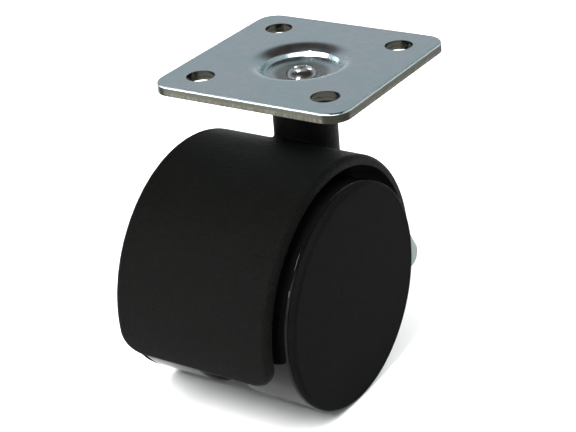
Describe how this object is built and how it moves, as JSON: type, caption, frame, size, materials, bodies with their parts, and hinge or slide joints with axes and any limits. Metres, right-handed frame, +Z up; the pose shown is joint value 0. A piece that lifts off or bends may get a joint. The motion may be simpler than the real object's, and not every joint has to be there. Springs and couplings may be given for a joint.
{
  "type": "hooded twin-wheel caster with brake",
  "caption": "Hooded twin-wheel furniture caster with a square bolt-on plate, a swivelling black hood and a foot brake.",
  "frame": {"origin": "centre of the plate's top face, on the swivel axis; the plate's four bolt holes are centred on it", "axes": "+Z up, out of the plate's top face; +X to the leading side, with the wheels trailing at -X; Y along the axle, left wheel at +Y"},
  "size_m": [0.0587, 0.038, 0.0548],
  "materials": {
    "zinc_plate": "zinc plated pressed steel, satin, faintly iridescent",
    "zinc_pin": "zinc plated turned steel",
    "spring_steel": "hardened wire and strip, oiled",
    "axle_steel": "ground steel pin",
    "hood_black": "finely textured moulded nylon",
    "core_black": "moulded nylon",
    "cover_black": "matte moulded nylon",
    "tread_black": "glossy hard polyurethane",
    "lever_grey": "pale grey-green moulded nylon",
    "acetal_white": "natural acetal"
  },
  "bodies": {
    "plate": {"top_plate": "zinc_plate", "swivel_pin": "zinc_pin", "thrust_washer": "zinc_pin", "grip_ring": "spring_steel"},
    "hood": {"hood_body": "hood_black", "swivel_bush": "zinc_pin", "brake_lever_pin": "spring_steel", "axle": "axle_steel", "left_spacer": "acetal_white", "right_spacer": "acetal_white", "left_retainer": "spring_steel", "right_retainer": "spring_steel"},
    "lever": {"brake_lever": "lever_grey"},
    "left_wheel": {"left_wheel_core": "core_black", "left_tyre": "tread_black", "left_wheel_cover": "cover_black", "left_hub_bush": "acetal_white"},
    "right_wheel": {"right_wheel_core": "core_black", "right_tyre": "tread_black", "right_wheel_cover": "cover_black", "right_hub_bush": "acetal_white"}
  },
  "joints": [
    {"name": "swivel", "type": "hinge", "parent": "plate", "child": "hood", "pos_m": [0, 0, -0.01], "axis": [0, 0, 1], "continuous": true},
    {"name": "left_wheel_spin", "type": "hinge", "parent": "hood", "child": "left_wheel", "pos_m": [-0.0156, 0, -0.0348], "axis": [0, 1, 0], "continuous": true},
    {"name": "right_wheel_spin", "type": "hinge", "parent": "hood", "child": "right_wheel", "pos_m": [-0.0156, 0, -0.0348], "axis": [0, 1, 0], "continuous": true},
    {"name": "brake_press", "type": "hinge", "parent": "hood", "child": "lever", "pos_m": [0.00837, 0, -0.02927], "axis": [0, 1, 0], "range_deg": [0, 20]}
  ]
}
